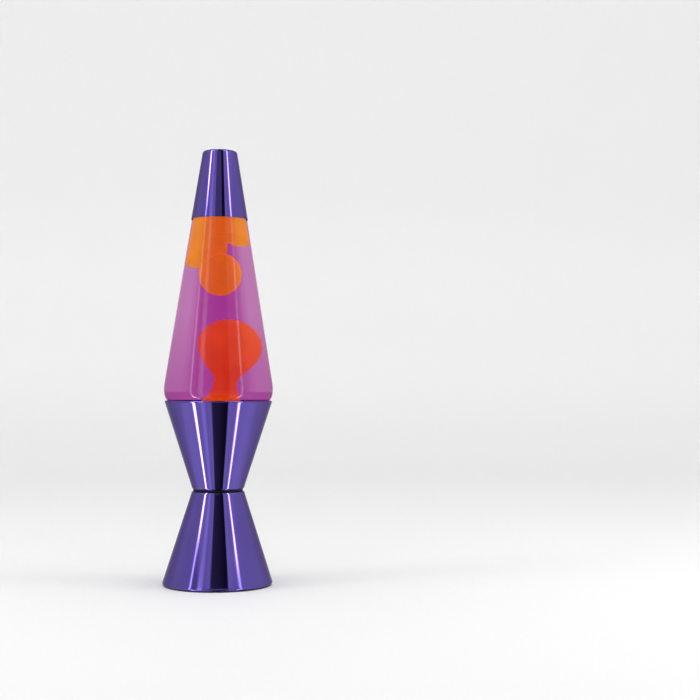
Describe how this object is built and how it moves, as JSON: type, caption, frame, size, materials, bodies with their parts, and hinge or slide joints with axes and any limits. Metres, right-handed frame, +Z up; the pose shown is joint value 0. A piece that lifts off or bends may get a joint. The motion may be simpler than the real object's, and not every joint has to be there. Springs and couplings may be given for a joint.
{
  "type": "lava lamp",
  "caption": "Table lava lamp: a two-cone spun base with a waist holds a screw-in bulb, a tapered glass globe of liquid and wax lifts out of it, and a conical cap lifts off.",
  "frame": {"origin": "centre of the underside, on the table", "axes": "+Z up along the lamp's axis; -Y is the front, and the cord's gland is at the rear, +Y"},
  "size_m": [0.1046, 0.1046, 0.4154],
  "materials": {
    "felt": "matte foam",
    "black_plastic": "satin",
    "purple_metal": "polished under clear purple lacquer",
    "black_rubber": "matte",
    "steel": "plated",
    "porcelain": "glazed",
    "brass": "satin",
    "solder": "solder",
    "black_glass": "black glass",
    "bulb_base_metal": "rolled",
    "frosted_glass": "frosted",
    "clear_glass": "clear",
    "crown_metal": "plated",
    "white_plastic": "satin",
    "pink_liquid": "clear tinted liquid",
    "orange_wax": "translucent wax"
  },
  "bodies": {
    "base": {"base_pad": "felt", "bottom_cover": "black_plastic", "lower_cone": "purple_metal", "cord_grommet": "black_rubber", "waist_ring": "black_plastic", "upper_cone": "purple_metal", "waist_screws": "steel", "waist_washers": "black_plastic", "waist_nuts": "steel", "lamp_holder": "porcelain", "holder_screw_shell": "brass", "centre_contact": "brass", "terminal_screws": "steel"},
    "bulb_carrier": {"bulb_tip_contact": "solder"},
    "bulb": {"bulb_insulator": "black_glass", "bulb_screw_base": "bulb_base_metal", "bulb_glass": "frosted_glass", "bulb_stem": "clear_glass", "filament_supports": "steel", "filament": "steel"},
    "globe": {"globe_glass": "clear_glass", "crown_cap": "crown_metal", "crown_liner": "white_plastic", "liquid": "pink_liquid", "wax_column": "orange_wax", "wax_upper": "orange_wax", "heat_coil": "steel"},
    "wax_ball": {"wax_ball": "orange_wax"},
    "cap": {"cap": "purple_metal"}
  },
  "joints": [
    {"name": "globe_lift", "type": "slide", "parent": "base", "child": "globe", "axis": [0, 0, 1], "range_m": [0, 0.1]},
    {"name": "cap_lift", "type": "slide", "parent": "globe", "child": "cap", "axis": [0, 0, 1], "range_m": [0, 0.075]},
    {"name": "ball_sink", "type": "slide", "parent": "globe", "child": "wax_ball", "axis": [0, 0, 1], "range_m": [-0.018, 0], "deforming": ["liquid"]},
    {"name": "bulb_rise", "type": "slide", "parent": "base", "child": "bulb_carrier", "axis": [0, 0, 1], "range_m": [0, 0.0146]},
    {"name": "bulb_turn", "type": "hinge", "parent": "bulb_carrier", "child": "bulb", "pos_m": [0, 0, 0.06], "axis": [0, 0, 1], "range_deg": [0, 1440]}
  ],
  "couplings": [
    {"joint": "bulb_rise", "follows": "bulb_turn", "m_per_rad": 0.00057757}
  ]
}
